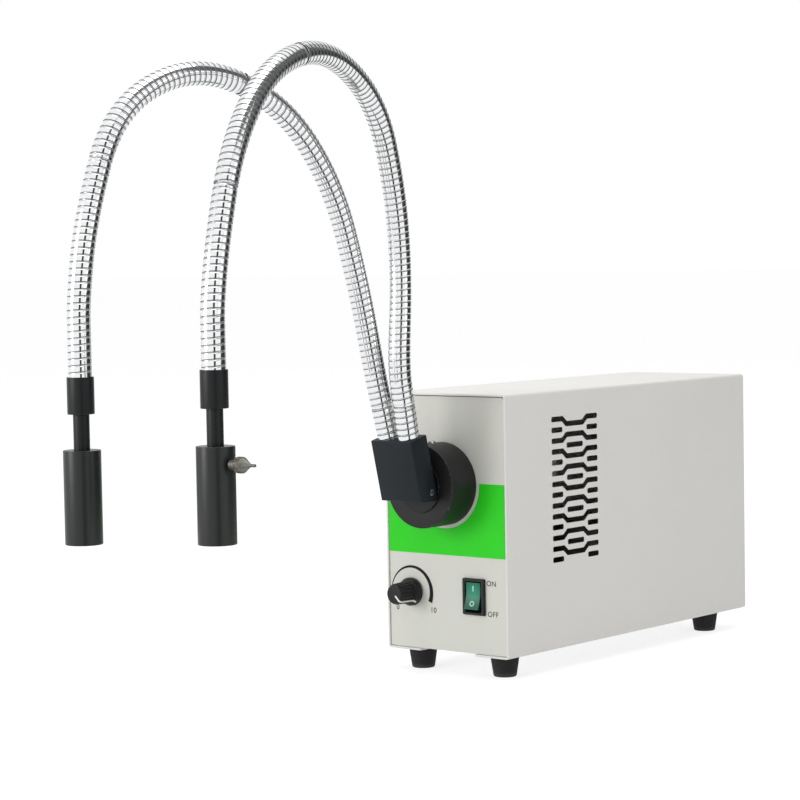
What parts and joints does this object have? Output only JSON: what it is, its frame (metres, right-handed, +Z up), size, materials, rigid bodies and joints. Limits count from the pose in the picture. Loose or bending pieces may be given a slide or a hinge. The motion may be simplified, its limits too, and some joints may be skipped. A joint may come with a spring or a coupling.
{
  "type": "fiber optic illuminator",
  "caption": "Cold light source: narrow sheet-metal lamp housing with dimmer knob and rocker switch, and a front light port feeding a dual gooseneck guide with focusing lens barrels.",
  "frame": {"origin": "on the bench top, under the middle of the whole object's length and width; the housing's middle plane is x = 0", "axes": "+X to the right of someone facing the front panel, +Y from the front towards the rear, +Z up"},
  "size_m": [0.137, 0.5034, 0.3547],
  "materials": {
    "adapter_metal": "turned, clear anodised",
    "anodised_dark": "black satin anodised",
    "barrel_anodised": "dark grey-green anodised, fine turned",
    "board_green": "solder-masked circuit board",
    "ceramic_white": null,
    "chassis_zinc": "grey passivated steel sheet",
    "coil_tape": "yellow tape over enamelled wire",
    "core_steel": "varnished laminations",
    "cover_paint": "pale warm grey fine powder coat",
    "fan_black": "black moulding",
    "ferrule_black": "black anodised",
    "fibre_glass": "polished glass fibre bundle",
    "filter_glass": "heat absorbing glass",
    "foot_rubber": "dull black rubber",
    "fuse_glass": "glass tube with metal caps",
    "green_film": "green printed film",
    "hose_chrome": "bright interlocked metal hose",
    "inlet_black": "black moulding",
    "knob_black": "black satin moulding with white pointer",
    "lamp_glass": "dichroic reflector glass",
    "lens_glass": "coated optical glass",
    "panel_paint": "pale grey smooth satin paint",
    "pin_brass": "nickel-plated brass",
    "plug_steel": "turned stainless",
    "pot_metal": "plated steel can",
    "rocker_green": "translucent green, lit",
    "screw_steel": "bright zinc",
    "sink_aluminium": "black anodised extrusion",
    "standoff_brass": "plain brass",
    "switch_black": "black moulding",
    "thumb_metal": "knurled nickel-plated brass"
  },
  "bodies": {
    "case": {"cover": "cover_paint", "chassis": "chassis_zinc", "front_panel": "panel_paint", "rear_panel": "cover_paint", "green_band": "green_film", "feet": "foot_rubber", "foot_screws": "screw_steel", "rear_screws": "screw_steel", "port_collar": "anodised_dark", "potentiometer": "pot_metal", "pot_nut": "pot_metal", "switch_housing": "switch_black", "lamp_bracket": "chassis_zinc", "heat_filter": "filter_glass", "lamp": "lamp_glass", "lamp_socket": "ceramic_white", "transformer_core": "core_steel", "transformer_coil": "coil_tape", "dimmer_board": "board_green", "board_standoffs": "standoff_brass", "heat_sink": "sink_aluminium", "fan_frame": "fan_black", "mains_inlet": "inlet_black", "inlet_pins": "pin_brass"},
    "port_lock": {"port_lock_screw": "screw_steel"},
    "adapter": {"port_adapter": "adapter_metal"},
    "guide": {"guide_plug": "plug_steel", "guide_block": "anodised_dark", "block_screws": "screw_steel", "guide_bundle": "fibre_glass", "hose_left_root": "hose_chrome", "hose_right_root": "hose_chrome"},
    "dimmer": {"knob": "knob_black", "pot_shaft": "plug_steel"},
    "rocker": {"switch_rocker": "rocker_green"},
    "fan": {"fan_rotor": "fan_black"},
    "fuse_holder": {"fuse_drawer": "inlet_black", "fuse": "fuse_glass"},
    "left_rise": {"hose_left_rise": "hose_chrome"},
    "left_crown": {"hose_left_crown": "hose_chrome"},
    "left_drop": {"hose_left_drop": "hose_chrome", "end_ferrule_left": "ferrule_black", "end_stem_left": "ferrule_black", "fibre_tip_left": "fibre_glass"},
    "left_barrel": {"lens_barrel_left": "barrel_anodised", "lens_left": "lens_glass", "lens_ring_left": "ferrule_black"},
    "left_clamp": {"thumbscrew_left": "thumb_metal"},
    "right_rise": {"hose_right_rise": "hose_chrome"},
    "right_crown": {"hose_right_crown": "hose_chrome"},
    "right_drop": {"hose_right_drop": "hose_chrome", "end_ferrule_right": "ferrule_black", "end_stem_right": "ferrule_black", "fibre_tip_right": "fibre_glass"},
    "right_barrel": {"lens_barrel_right": "barrel_anodised", "lens_right": "lens_glass", "lens_ring_right": "ferrule_black"},
    "right_clamp": {"thumbscrew_right": "thumb_metal"}
  },
  "joints": [
    {"name": "port_lock_turn", "type": "hinge", "parent": "case", "child": "port_lock", "pos_m": [-0.0015, -0.01375, 0.1345], "axis": [0, 0, 1], "range_deg": [0, 360]},
    {"name": "adapter_slide", "type": "slide", "parent": "case", "child": "adapter", "axis": [0, -1, 0], "range_m": [0, 0.028]},
    {"name": "guide_swivel", "type": "hinge", "parent": "adapter", "child": "guide", "pos_m": [-0.0015, -0.02475, 0.1105], "axis": [0, -1, 0], "range_deg": [-20, 20]},
    {"name": "left_rise_bend", "type": "hinge", "parent": "guide", "child": "left_rise", "pos_m": [-0.0096, -0.04726, 0.1584], "axis": [0.9815, -0.1917, 0], "range_deg": [-20, 15]},
    {"name": "left_crown_swing", "type": "hinge", "parent": "left_rise", "child": "left_crown", "pos_m": [-0.02777, -0.14031, 0.3353], "axis": [-0.0596, -0.3053, -0.9504], "range_deg": [-10, 25]},
    {"name": "left_drop_bend", "type": "hinge", "parent": "left_crown", "child": "left_drop", "pos_m": [-0.04464, -0.22667, 0.2913], "axis": [0.9815, -0.1917, 0], "range_deg": [-30, 30]},
    {"name": "left_focus_slide", "type": "slide", "parent": "left_drop", "child": "left_barrel", "axis": [0, 0, -1], "range_m": [-0.008, 0.016]},
    {"name": "left_clamp_turn", "type": "hinge", "parent": "left_barrel", "child": "left_clamp", "pos_m": [-0.05441, -0.2345, 0.1361], "axis": [-0.7071, 0.7071, 0], "range_deg": [0, 360]},
    {"name": "right_rise_bend", "type": "hinge", "parent": "guide", "child": "right_rise", "pos_m": [0.00666, -0.04756, 0.1599], "axis": [0.9815, 0.1917, 0], "range_deg": [-20, 15]},
    {"name": "right_crown_swing", "type": "hinge", "parent": "right_rise", "child": "right_crown", "pos_m": [0.02745, -0.15405, 0.3453], "axis": [0.0457, -0.2341, 0.9711], "range_deg": [-10, 25]},
    {"name": "right_drop_bend", "type": "hinge", "parent": "right_crown", "child": "right_drop", "pos_m": [0.04125, -0.22471, 0.2753], "axis": [0.9815, 0.1917, 0], "range_deg": [-30, 30]},
    {"name": "right_focus_slide", "type": "slide", "parent": "right_drop", "child": "right_barrel", "axis": [0, 0, -1], "range_m": [-0.008, 0.016]},
    {"name": "right_clamp_turn", "type": "hinge", "parent": "right_barrel", "child": "right_clamp", "pos_m": [0.05369, -0.23845, 0.1411], "axis": [1, 0, 0], "range_deg": [0, 360]},
    {"name": "dimmer_turn", "type": "hinge", "parent": "case", "child": "dimmer", "pos_m": [-0.026, -0.00275, 0.0465], "axis": [0, -1, 0], "range_deg": [0, 270]},
    {"name": "power_rock", "type": "hinge", "parent": "case", "child": "rocker", "pos_m": [0.02, -0.00175, 0.0466], "axis": [1, 0, 0], "range_deg": [0, 18]},
    {"name": "fan_spin", "type": "hinge", "parent": "case", "child": "fan", "pos_m": [0, 0.23965, 0.1203], "axis": [0, 1, 0], "continuous": true},
    {"name": "fuse_drawer_slide", "type": "slide", "parent": "case", "child": "fuse_holder", "axis": [0, 1, 0], "range_m": [0, 0.016]}
  ]
}
